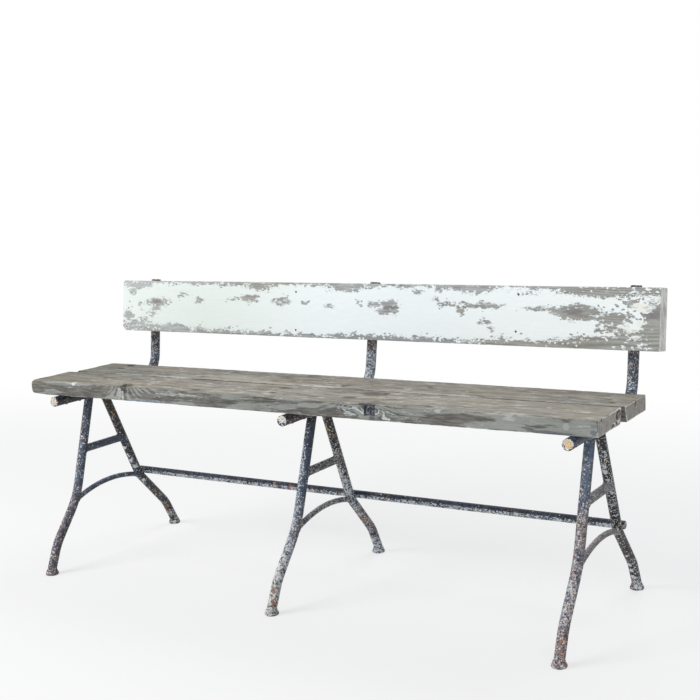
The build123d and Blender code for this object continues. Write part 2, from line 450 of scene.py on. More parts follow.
def undercutEdge(graph, shape, given, halves):
    # the facing edge leans in towards its foot, and the left front corner is rounded off
    x, y, z = graph.split(shape)
    side = given["Undercut side"]
    lean = (y * side / halves[1]).steps(0.7, 1.0) * (0.5 - z / given["Thickness"])
    y = y - lean * side * given["Undercut"]
    corner = given["Corner radius"]
    overX = (0.0 - x - halves[0] + corner).most(0.0)
    overY = (0.0 - y - halves[1] + corner).most(0.0)
    across = (overX * overX + overY * overY) ** 0.5
    shrink = 1.0 - overX.most(overY) / across.most(1e-6)
    return graph.join(x + overX * shrink, y + overY * shrink, z)


def plankTree(dents):
    def build(graph, given):
        halves = [given[side] * 0.5 for side in ("Length", "Width", "Thickness")]
        block, flat = crowdedBlock(graph, given, halves)

        def grain(stretch, detail):
            return graph.noise(flat, stretch, detail, 0.5, seed=given["Seed"])

        shape = roundArrises(graph, flat, given, halves, grain)
        shape = undercutEdge(graph, shape, given, halves)

        # slow waves and small pits, always inwards
        facing = graph.node("GeometryNodeInputNormal")
        wave = grain((2.2, 11.0, 11.0), 2.0)
        pit = grain((60.0, 170.0, 170.0), 3.0)
        sink = (wave - 0.4).most(0.0) * given["Waves"] + (pit - 0.4).most(0.0) * given["Pits"]
        shape = shape - facing * sink
        for dent in dents:
            reach = ((shape - dent.at) / dent.size).length() + (pit - 0.5) * 0.5
            shape = shape + graph.join(*dent.push) * reach.steps(1.0, dent.core)
        made = graph.node("GeometryNodeSetPosition", {}, {"Geometry": block, "Position": shape})
        return graph.node("GeometryNodeSetShadeSmooth", {}, {"Geometry": made})

    return build


def layPlank(name, node, plank):
    material = seatTimber(name + "Timber", plank)
    low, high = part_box(node)
    sizes = dict(plank["sizes"], Length=high.x - low.x)
    middle = (low + high) / 2
    # placed from its outer edge, because rounding takes the tip off the undercut one
    half = sizes["Width"] / 2
    middle.y = low.y + half if sizes["Undercut side"] > 0 else high.y - half
    dents = [dent._replace(at=tuple(Vector(dent.at) - middle)) for dent in plank["dents"]]
    piece = growPiece(name, sizes, plankTree(dents), material)
    piece.data.transform(Matrix.Translation(middle))
    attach(piece, "root")
    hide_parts(node)
    print(name, len(piece.data.polygons), "faces")


seatColours = {
    "topBrown": (108, 102, 93),
    "topGrey": (112, 109, 102),
    "topSand": (176, 169, 157),
    "topSilver": (182, 179, 172),
    "topWorn": (208, 206, 198),
    "topDash": (88, 80, 74),
    "topShade": (104, 100, 89),
    "topAsh": (148, 145, 133),
    "edgePale": (144, 146, 142),
    "edgeGreen": (135, 137, 131),
    "edgeShine": (166, 170, 165),
    "edgeDark": (92, 90, 86),
    "edgeMid": (124, 122, 117),
    "wisp": (198, 203, 203),
    "endDark": (110, 104, 97),
    "endPale": (190, 186, 179),
    "rubbed": (226, 227, 222),
    "knot": (74, 67, 64),
    "crack": (52, 45, 41),
    # painted shade in the gap between the planks
    "gapPaintedShade": (66, 62, 58),
    "greyTowards": (-0.35, -0.75),
}

frontPlank = {
    "sizes": {
        "Width": 0.144,
        "Thickness": 0.036,
        "Edge radius": 0.0022,
        "Edge wear": 0.0032,
        "Nicks": 0.0025,
        "Left end wear": 0.0085,
        "Edge crowding": 0.007,
        "Undercut": 0.010,
        "Undercut side": 1.0,
        "Corner radius": 0.005,
        "Waves": 0.0050,
        "Pits": 0.0020,
        "Lines X": 421,
        "Lines Y": 47,
        "Lines Z": 17,
        "Seed": 3.1,
    },
    "dents": [
        # knot hole in the right end, broken knot in the front edge, knots on top
        Dent((0.745, -0.050, 0.465), (0.016, 0.016, 0.013), (-0.007, 0.0, 0.0)),
        Dent((0.745, -0.080, 0.450), (0.010, 0.010, 0.006), (-0.004, 0.0, 0.0)),
        Dent((0.2377, -0.171, 0.4695), (0.018, 0.014, 0.016), (0.0, 0.0014, 0.0), 0.6),
        Dent((-0.452, -0.154, 0.480), (0.012, 0.018, 0.012), (0.0, 0.0, -0.0018)),
        Dent((0.181, -0.050, 0.480), (0.03, 0.012, 0.006), (0.0, 0.0, -0.0015)),
        Dent((-0.054, -0.055, 0.480), (0.017, 0.009, 0.006), (0.0, 0.0, -0.002)),
    ],
    "wood": {
        **seatColours,
        "pith": (-0.115, 0.362),
        "drift": (0.0, 0.035, 0.040),
        "driftStretch": (4.2, 3.0, 3.0),
        "knotDraw": 0.36,
        "ringWidth": 0.0034,
        "bandWidth": 0.0115,
        "endRingWidth": 0.004,
        "edgeLightness": 0.015,
    },
    # lights (more than 0) and darks along the edge: x, z, half width, half height, amount
    "shades": [
        (-0.745, 0.462, 0.026, 0.020, -0.14), (-0.685, 0.454, 0.030, 0.007, 0.10),
        (-0.680, 0.468, 0.070, 0.009, -0.14), (-0.590, 0.452, 0.060, 0.011, -0.20),
        (-0.545, 0.468, 0.050, 0.007, -0.12), (-0.500, 0.455, 0.016, 0.012, 0.12),
        (-0.258, 0.452, 0.026, 0.006, 0.16), (-0.270, 0.464, 0.050, 0.005, -0.06),
        (-0.330, 0.455, 0.070, 0.009, -0.14), (-0.340, 0.466, 0.050, 0.008, -0.14),
        (-0.170, 0.457, 0.060, 0.012, -0.10), (-0.075, 0.456, 0.060, 0.007, 0.14),
        (0.018, 0.458, 0.050, 0.006, 0.16), (0.085, 0.468, 0.035, 0.006, 0.16),
        (0.020, 0.471, 0.065, 0.006, -0.14), (0.090, 0.451, 0.075, 0.008, -0.18),
        (0.330, 0.466, 0.035, 0.007, 0.12), (0.400, 0.456, 0.050, 0.010, -0.08),
        (0.480, 0.467, 0.060, 0.007, -0.16), (0.500, 0.451, 0.050, 0.007, 0.16),
        (0.556, 0.463, 0.022, 0.020, 0.16), (0.225, 0.460, 0.060, 0.015, -0.13),
        (0.600, 0.457, 0.040, 0.005, -0.12), (0.710, 0.460, 0.040, 0.020, 0.22),
        (0.620, 0.472, 0.060, 0.006, 0.14), (-0.530, 0.460, 0.045, 0.020, -0.08),
    ],
    "knots": [
        Knot((-0.452, -0.160, 0.482), (0.05, -1.0, 0.25), 0.008, 0.019, 6.5, 0.42),
        Knot((0.236, -0.171, 0.470), (0.0, -1.0, 0.1), 0.010, 0.011, 6.0),
        Knot((0.1805, -0.171, 0.469), (0.0, -1.0, 0.1), 0.003, 0.006, 3.0),
        Knot((0.181, -0.050, 0.480), (0.2, 0.1, 1.0), 0.011, 0.012, 1.5),
        Knot((-0.054, -0.057, 0.480), (0.1, 0.1, 1.0), 0.009, 0.010, 1.0),
        Knot((-0.048, -0.116, 0.480), (0.1, 0.0, 1.0), 0.006, 0.008, 1.0),
        Knot((0.158, -0.118, 0.480), (-0.2, 0.1, 1.0), 0.008, 0.010, 1.0),
        Knot((-0.245, -0.150, 0.480), (-0.1, 0.2, 1.0), 0.006, 0.010, 1.0),
        Knot((0.367, -0.148, 0.480), (0.1, -0.1, 1.0), 0.005, 0.008, 1.0),
    ],
    "marks": [
        # broken knot, its pale swirls, and pale streaks along the edge
        edgeMark(0.190, 0.464, 0.036, 0.013, (200, 207, 208), 0.85, 1.8, curled=True),
        edgeMark(0.219, 0.464, 0.012, 0.010, (206, 213, 214), 0.9, 1.8, curled=True),
        edgeMark(0.268, 0.456, 0.028, 0.015, (208, 215, 216), 0.95, 1.6, curled=True),
        edgeMark(0.320, 0.462, 0.034, 0.008, (190, 197, 198), 0.6, 2.2, curled=True),
        Mark((0.237, -0.171, 0.4675), (0.0145, 0.016, 0.0142), (38, 40, 48), 0.96, 0.7,
             (118, 123, 133), square=True),
        edgeMark(0.226, 0.466, 0.003, 0.013, (34, 34, 42), 0.85, 1.0),
        edgeMark(0.243, 0.450, 0.006, 0.007, (84, 84, 92), 0.7, 3.2),
        # painted shade along the top arris above the broken knot
        Mark((0.219, -0.171, 0.479), (0.009, 0.014, 0.0035), (60, 56, 58), 0.8, 1.4),
        Mark((0.234, -0.168, 0.481), (0.018, 0.010, 0.0035), (92, 88, 87), 0.7, 1.4),
        edgeMark(-0.6145, 0.4768, 0.007, 0.0048, (224, 229, 228), 0.9, 2.4),
        edgeMark(-0.650, 0.475, 0.07, 0.003, (182, 188, 184), 0.3, 5.0),
        edgeMark(-0.490, 0.464, 0.014, 0.014, (186, 192, 189), 0.45, 2.4, curled=True),
        edgeMark(-0.4640, 0.461, 0.007, 0.014, (200, 206, 205), 0.7, 3.0, (150, 152, 146)),
        edgeMark(-0.285, 0.4695, 0.048, 0.0035, (206, 213, 214), 0.65, 7.0, (158, 161, 156)),
        edgeMark(-0.4545, 0.4575, 0.0035, 0.012, (208, 213, 212), 0.75, 1.6, (160, 163, 158)),
        edgeMark(-0.135, 0.460, 0.024, 0.0026, (66, 71, 86), 0.6, 3.0),
        edgeMark(-0.190, 0.454, 0.026, 0.0022, (74, 77, 88), 0.5, 3.0),
        edgeMark(-0.380, 0.4485, 0.062, 0.0045, (150, 161, 170), 0.8, 1.8, (112, 120, 134)),
        edgeMark(0.3992, 0.477, 0.006, 0.0025, (206, 212, 212), 0.6, 7.0),
        edgeMark(0.5577, 0.473, 0.007, 0.005, (196, 202, 202), 0.5, 8.0),
        edgeMark(0.632, 0.4475, 0.055, 0.0040, (90, 92, 104), 0.75, 2.0),
        edgeMark(0.679, 0.463, 0.007, 0.008, (176, 180, 176), 0.6, 0.8),
        edgeMark(0.7343, 0.4541, 0.008, 0.006, (106, 108, 116), 0.7, 1.4),
        edgeMark(0.7355, 0.467, 0.008, 0.004, (118, 120, 126), 0.6, 1.4),
        # the knot in the end and the split below it
        Mark((0.745, -0.048, 0.4665), (0.016, 0.0165, 0.012), (84, 73, 63), 0.95, 0.5),
        Mark((0.745, -0.060, 0.4565), (0.016, 0.007, 0.008), (78, 64, 54), 0.9, 0.6),
        Mark((0.745, -0.0385, 0.462), (0.016, 0.0022, 0.013), (168, 158, 148), 0.7, 0.5),
        Mark((0.745, -0.080, 0.450), (0.012, 0.010, 0.005), (80, 62, 50), 0.9, 1.0),
        Mark((0.745, -0.150, 0.476), (0.012, 0.004, 0.003), (60, 46, 42), 0.9, 1.0),
        # the knot hole at the left of the front edge: soft painted shade behind it, brown wood in it,
        # and its dark middle and sides painted as the shade in the hole
        Mark((-0.4575, -0.1400, 0.480), (0.009, 0.010, 0.010), (112, 106, 99), 0.8, 0.9),
        Mark((-0.4505, -0.1560, 0.480), (0.009, 0.016, 0.010), (94, 86, 80), 0.95, 0.6),
        Mark((-0.4570, -0.1610, 0.480), (0.0050, 0.009, 0.010), (22, 21, 24), 1.0, 0.6),
        Mark((-0.4640, -0.1500, 0.480), (0.0055, 0.007, 0.010), (40, 37, 38), 0.95, 0.6),
        Mark((-0.4430, -0.1495, 0.480), (0.0045, 0.006, 0.010), (40, 37, 38), 0.95, 0.6),
        # dark knots and short checks in the top
        topMark(0.190, -0.064, 0.036, 0.018, (96, 90, 84), 0.8, 1.4),
        topMark(0.212, -0.050, 0.010, 0.006, (66, 60, 58), 0.85, 1.4),
        topMark(0.157, -0.112, 0.016, 0.008, (98, 92, 86), 0.7, 1.8),
        topMark(-0.050, -0.062, 0.024, 0.010, (92, 86, 80), 0.75, 1.6),
        topMark(-0.047, -0.121, 0.012, 0.007, (84, 78, 74), 0.75, 1.4),
        topMark(-0.246, -0.154, 0.018, 0.008, (92, 88, 86), 0.7, 1.8),
        topMark(0.373, -0.150, 0.008, 0.006, (86, 80, 78), 0.7, 1.6),
        topMark(-0.455, -0.105, 0.010, 0.010, (104, 100, 94), 0.6, 1.6),
    ],
}

rearPlank = {
    "sizes": {
        **frontPlank["sizes"],
        "Width": 0.140,
        "Edge wear": 0.0022,
        "Nicks": 0.0015,
        "Left end wear": 0.0010,
        "Undercut": 0.012,
        "Undercut side": -1.0,
        "Corner radius": 0.002,
        "Seed": 8.4,
    },
    "dents": [
        Dent((0.067, 0.016, 0.480), (0.015, 0.011, 0.006), (0.0, 0.0, -0.0015)),
        Dent((-0.655, 0.090, 0.480), (0.014, 0.010, 0.006), (0.0, 0.0, -0.002)),
    ],
    "wood": {
        **seatColours,
        "pith": (0.055, 0.355),
        "drift": (0.0, 0.035, 0.030),
        "driftStretch": (3.1, 4.0, 4.0),
        "knotDraw": 0.38,
        "ringWidth": 0.0042,
        "bandWidth": 0.012,
        "endRingWidth": 0.005,
        "endPale": (180, 175, 168),
        "edgeLightness": 0.04,
    },
    "shades": [],
    "knots": [
        Knot((0.067, 0.016, 0.480), (0.1, 0.1, 1.0), 0.007, 0.010, 1.0),
        Knot((-0.658, 0.098, 0.480), (0.1, 0.0, 1.0), 0.007, 0.010, 1.0),
        Knot((-0.649, 0.050, 0.480), (0.0, 0.1, 1.0), 0.006, 0.008, 1.0),
        Knot((0.712, 0.008, 0.480), (0.0, 0.1, 1.0), 0.004, 0.006, 1.0),
    ],
    "marks": [
        topMark(-0.415, -0.018, 0.060, 0.006, (206, 211, 208), 0.75, 2.4),
        topMark(-0.560, -0.019, 0.080, 0.005, (176, 184, 184), 0.65, 2.4),
        topMark(-0.130, -0.010, 0.10, 0.012, (196, 192, 182), 0.4, 3.4),
        topMark(0.023, -0.016, 0.06, 0.008, (218, 217, 210), 0.8, 1.8),
        topMark(0.300, -0.018, 0.14, 0.006, (206, 206, 200), 0.6, 2.6),
        topMark(-0.23, 0.030, 0.09, 0.03, (192, 188, 176), 0.5, 2.6),
        topMark(0.0705, 0.007, 0.006, 0.018, (84, 78, 72), 0.75, 1.6),
        topMark(-0.658, 0.101, 0.010, 0.014, (70, 64, 60), 0.85, 1.2),
        topMark(-0.646, 0.046, 0.010, 0.012, (84, 78, 74), 0.75, 1.4),
        topMark(0.711, 0.008, 0.006, 0.006, (70, 64, 62), 0.8, 1.2),
        Mark((0.745, 0.048, 0.473), (0.01, 0.006, 0.007), (84, 68, 58), 0.8, 1.4),
    ],
}


layPlank("frontPlank", "seat_front_plank", frontPlank)
layPlank("rearPlank", "seat_rear_plank", rearPlank)


board = {
    "height": 0.138,
    "lean": 7.5,  # degrees back from the vertical
    "sizes": {
        **frontPlank["sizes"],
        "Width": 0.046,
        "Thickness": 0.138,
        "Edge radius": 0.0015,
        "Edge wear": 0.0022,
        "Nicks": 0.0015,
        "Left end wear": 0.0010,
        "Edge crowding": 0.006,
        "Undercut": 0.0,
        "Corner radius": 0.003,
        "Waves": 0.0035,
        "Pits": 0.0012,
        "Lines Y": 21,
        "Lines Z": 43,
        "Seed": 5.7,
    },
    # the lower left corner is knocked off; from the board's middle
    "dents": [
        Dent((-0.752, 0.0, -0.069), (0.016, 0.08, 0.016), (0.005, 0.0, 0.005), 0.1),
    ],
    "wood": {
        "pith": (0.045, -0.02),
        "drift": (0.0, 0.030, 0.030),
        "driftStretch": (3.0, 4.0, 4.0),
        "knotDraw": 0.4,
        "bandWidth": 0.0046,
    },
    "knots": [
        Knot((0.582, 0.0, 0.079), (0.2, 1.0, 0.0), 0.010, 0.014, 3.0),
        Knot((0.752, 0.0, 0.078), (0.1, 1.0, 0.0), 0.010, 0.012, 2.5),
        Knot((0.107, 0.0, 0.083), (0.1, 1.0, 0.0), 0.008, 0.012, 2.0),
        Knot((-0.612, 0.0, 0.080), (0.1, 1.0, 0.0), 0.007, 0.012, 2.0),
    ],
    # bare patches on the front: x and height of the middle, half width, half height
    "bare": [
        (-0.694, 0.127, 0.044, 0.010), (-0.702, 0.107, 0.012, 0.009), (-0.612, 0.080, 0.040, 0.010),
        (-0.620, 0.063, 0.014, 0.008), (-0.636, 0.049, 0.018, 0.005), (-0.474, 0.088, 0.013, 0.009),
        (-0.364, 0.091, 0.012, 0.006), (-0.314, 0.095, 0.028, 0.009), (-0.211, 0.090, 0.025, 0.010),
        (-0.282, 0.126, 0.032, 0.010), (-0.140, 0.085, 0.008, 0.003), (-0.064, 0.081, 0.008, 0.003),
        (0.017, 0.092, 0.005, 0.006), (0.107, 0.083, 0.026, 0.014), (0.066, 0.087, 0.022, 0.006),
        (0.086, 0.070, 0.015, 0.007), (0.119, 0.073, 0.006, 0.009), (-0.013, 0.128, 0.043, 0.011),
        (0.145, 0.133, 0.015, 0.006), (0.179, 0.119, 0.011, 0.005), (0.234, 0.127, 0.010, 0.008),
        (0.330, 0.131, 0.040, 0.011), (0.228, 0.102, 0.006, 0.002), (0.255, 0.091, 0.018, 0.006),
        (0.294, 0.079, 0.013, 0.010), (0.348, 0.090, 0.046, 0.007), (0.354, 0.051, 0.011, 0.004),
        (0.463, 0.119, 0.013, 0.004), (0.505, 0.086, 0.036, 0.004), (0.580, 0.080, 0.056, 0.019),
        (0.662, 0.069, 0.044, 0.015), (0.628, 0.048, 0.004, 0.009), (0.654, 0.050, 0.014, 0.012),
        (0.655, 0.128, 0.080, 0.014), (0.756, 0.060, 0.030, 0.060), (0.720, 0.030, 0.050, 0.014),
        (-0.716, 0.042, 0.018, 0.014), (-0.690, 0.022, 0.040, 0.007), (-0.640, 0.008, 0.034, 0.010),
        (-0.560, 0.008, 0.046, 0.014), (0.640, 0.014, 0.100, 0.014), (-0.531, 0.098, 0.014, 0.006),
        (-0.676, 0.072, 0.005, 0.008), (-0.655, 0.036, 0.012, 0.003), (0.700, 0.100, 0.014, 0.010),
        (0.680, 0.040, 0.014, 0.010), (0.400, 0.020, 0.005, 0.005), (0.372, 0.040, 0.006, 0.003),
    ],
    # paint that has stayed on over the bare right end
    "kept": [
        (0.722, 0.092, 0.024, 0.011), (0.757, 0.112, 0.018, 0.008), (0.695, 0.048, 0.014, 0.010),
        (0.722, 0.058, 0.012, 0.008), (0.712, 0.030, 0.010, 0.006), (0.745, 0.046, 0.006, 0.005),
    ],
    # depth of the bare strips along the bottom and the top
    "lowStrip": [
        (-0.72, 0.016), (-0.55, 0.013), (-0.40, 0.011), (-0.28, 0.008), (-0.10, 0.008), (0.02, 0.010),
        (0.20, 0.010), (0.30, 0.008), (0.42, 0.013), (0.52, 0.011), (0.60, 0.020), (0.68, 0.026),
    ],
    "topStrip": [
        (-0.73, 0.010), (-0.60, 0.008), (-0.35, 0.009), (-0.22, 0.006), (-0.13, 0.005), (0.0, 0.009),
        (0.09, 0.004), (0.20, 0.006), (0.30, 0.010), (0.42, 0.005), (0.52, 0.009), (0.58, 0.016),
        (0.70, 0.016),
    ],
    "holes": [(-0.165, 0.018), (0.437, 0.117), (0.433, 0.033), (-0.167, 0.114)],
}


def boardGrain(graph, place):
    bands, core = grainField(graph, place, board)[1:]
    streak = graph.noise(place, (5.0, 90.0, 90.0), 4.0, 0.6)
    scratch = graph.noise(place, (26.0, 190.0, 190.0), 4.0, 0.65)
    return SimpleNamespace(
        core=core, streak=streak, scratch=scratch,
        fibre=graph.noise(place, (6.0, 300.0, 300.0), 4.0, 0.6),
        grit=graph.noise(place, 300.0, 4.0, 0.7),
        ring=(bands * fullTurn + streak * 5.0).ripple(),
        heart=(core + (scratch - 0.5) * 1.2).steps(1.2, 0.5),
    )


def bareWood(graph, place, grain, sawn):
    # long ribs near the right end fade round the knots
    x, _, z = graph.split(place)
    ribbed = x.steps(0.35, 0.6) * grain.core.steps(2.0, 5.0) * 0.5
    shade = grain.scratch.steps(0.35, 0.65) * 0.4 + grain.streak.steps(0.35, 0.65) * 0.3
    shade = shade * (1.0 - ribbed) + grain.ring * (0.3 + ribbed * 0.7)
    cloud = graph.noise(place, (3.0, 12.0, 12.0))
    slaty = z.steps(0.03, 0.01) * x.steps(-0.3, 0.0) * x.steps(0.4, 0.2)
    saw = graph.noise(place, (20.0, 90.0, 26.0), 4.0, 0.65).steps(0.36, 0.64)
    endShade = grain.ring * 0.15 + grain.grit.steps(0.3, 0.7) * 0.25 + saw * 0.6
    return graph.layer(
        graph.mix(shade, (126, 126, 123), (200, 204, 204)),
        (x.steps(-0.3, -0.6) * 0.4, (190, 195, 197)),
        (cloud.steps(0.45, 0.6) * 0.35, (152, 144, 128)),
        (x.steps(0.35, 0.6) * 0.35, (146, 141, 130)),
        (slaty * 0.4, (146, 154, 168)),
        (grain.heart * 0.65, (122, 118, 122)),
        (sawn, graph.mix(endShade, (160, 157, 153), (250, 249, 246))),
    )


def lostPaint(graph, place, ny, front, sawn):
    # where paint has gone, in patches with torn outlines and along the edges, where it has
    # stayed on over them, and where it is thin beside them
    x, _, z = graph.split(place)
    torn = graph.sway(place, (48.0, 100.0, 100.0), (0.034, 0.0, 0.018), 4.0)
    chip = graph.noise(place, (80.0, 150.0, 165.0), 3.0, 0.62) - 0.5
    flake = graph.noise(place, (34.0, 60.0, 95.0), 3.0, 0.6) - 0.5
    bits = graph.chips(graph.sway(place, 260.0, 0.004) * (0.55, 1.0, 1.0), 300.0)
    rough = chip * 0.018 + flake * 0.016 + (bits[0] - 0.5) * 0.003
    fray = chip * 0.030 + flake * 0.030 + (bits[0] - 0.5) * 0.007
    swell = (graph.noise(place, 8.0, 2.0) - 0.5) * 0.012

    def beyond(patches):
        # distance past the nearest patch's outline, less than 0 inside it
        gaps = [(fromSpot(torn, *patch) - 1.0) * patch[3] for patch in patches]
        return reduce(Wire.least, gaps) + rough

    gap = beyond(board["bare"])
    topEdge = board["height"] - z - (along(x, board["topStrip"]) + swell) - fray
    lowEdge = z - (along(x, board["lowStrip"]) + swell) - fray
    strips = topEdge.least(lowEdge)
    kept = beyond(board["kept"]).steps(0.0002, -0.0008)
    thin = gap.steps(0.004, 0.0).most(strips.steps(0.007, 0.0)) * (bits[1] < 0.45)

    # single bits are gone near the patches and the ends, and some inside a patch have stuck
    toEnds = x.steps(-0.60, -0.75) * 0.05 + x.steps(0.55, 0.70) * 0.16
    near = gap.steps(0.009, 0.001).most(strips.steps(0.016, 0.004))
    onFace = (0.0 - ny).steps(0.5, 0.8) * 0.9 + 0.1
    stuck = bits[2] < (0.05 + abs(x).steps(0.5, 0.7) * 0.13) * onFace
    scraped = cover(graph.noise(place, (9.0, 40.0, 40.0), 5.0, 0.65), 0.55)
    gone = gap.steps(0.0002, -0.0008).most(strips.steps(0.0008, -0.0004))
    gone = gone.most(bits[1] < toEnds + near * 0.06 - 0.01) * (1.0 - kept)
    gone = gone * (1.0 - stuck * gap.steps(-0.012, -0.004))
    gone = gone.most((1.0 - front) * scraped).most(sawn * 0.9)
    return gone, kept, thin


def paintedWhite(graph, place, kept, thin):
    # cooler and greener to the left, cream where it has stayed on, grey where it is thin
    x = graph.split(place)[0]
    warm = graph.noise(place, (4.0, 9.0, 9.0))
    # grey specks of dirt on the white paint
    grimeAndPaintedShade = graph.noise(place, 160.0, 4.0, 0.7)
    return graph.layer(
        graph.mix(x.steps(0.1, 0.6), (243, 250, 252), (249, 255, 255)),
        (x.steps(0.0, -0.5) * 0.95, (228, 236, 232)),
        (warm.steps(0.5, 0.7) * 0.10, (240, 241, 228)),
        (kept * 0.6, (243, 241, 229)),
        (thin * 0.55, (182, 190, 198)),
        (grimeAndPaintedShade.steps(0.6, 0.85) * 0.12, (178, 186, 190)),
    )


def boardFinish(name, placed):
    material, graph, place = newMaterial(name)
    mapping = {"Vector": place, "Location": placed.to_translation()[:]}
    mapping["Rotation"] = placed.to_euler()[:]
    place = graph.node("ShaderNodeMapping", {"vector_type": "TEXTURE"}, mapping)
    x, y, _ = graph.split(place)
    nx, ny, nz = graph.facing()
    sawn = abs(nx).steps(0.5, 0.9)
    front = (y - board["sizes"]["Width"] * 0.5).steps(0.002, -0.002)
    grain = boardGrain(graph, place)
    gone, kept, thin = lostPaint(graph, place, ny, front, sawn)
    atEnd = abs(nx).steps(0.15, 0.45)
    rubbed = largest(nx, ny, nz).steps(0.99, 0.9) * cover(grain.scratch, 0.5 + atEnd * 0.4)
    rubbed = rubbed * (0.6 + atEnd * x.steps(0.0, 0.5) * 0.3)
    toHole = reduce(Wire.least, [fromSpot(place, *hole) for hole in board["holes"]])
    hole = toHole.steps(0.003, 0.0018) * front
    colour = graph.layer(
        paintedWhite(graph, place, kept, thin),
        (gone, bareWood(graph, place, grain, sawn)),
        (rubbed, (228, 230, 227)),
        (hole, (44, 42, 42)),
    )
    height = grain.ring * 0.25 + grain.fibre * 0.7 - grain.heart * 0.2
    timber = graph.bump(height * (gone * 0.8 + 0.2), 0.0009)
    rim = graph.bump(1.0 - gone + grain.grit * 0.1 - hole * 2.0, 0.0007, timber)
    finishMaterial(graph, colour, 0.5 + gone * 0.32, rim, 0.35)
    return material


def hangBoard():
    low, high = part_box("back_board")
    middle = (low + high) / 2
    placed = Matrix.Translation(middle) @ Matrix.Rotation(math.radians(-board["lean"]), 4, "X")
    foot = placed @ Matrix.Translation((0.0, 0.0, -board["height"] / 2))
    foot.translation.x = 0.0
    material = boardFinish("backBoardPaint", foot)
    sizes = dict(board["sizes"], Length=high.x - low.x)
    piece = growPiece("backBoard", sizes, plankTree(board["dents"]), material)
    piece.data.transform(placed)
    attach(piece, "root")
    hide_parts("back_board")
    print("backBoard", len(piece.data.polygons), "faces")


hangBoard()


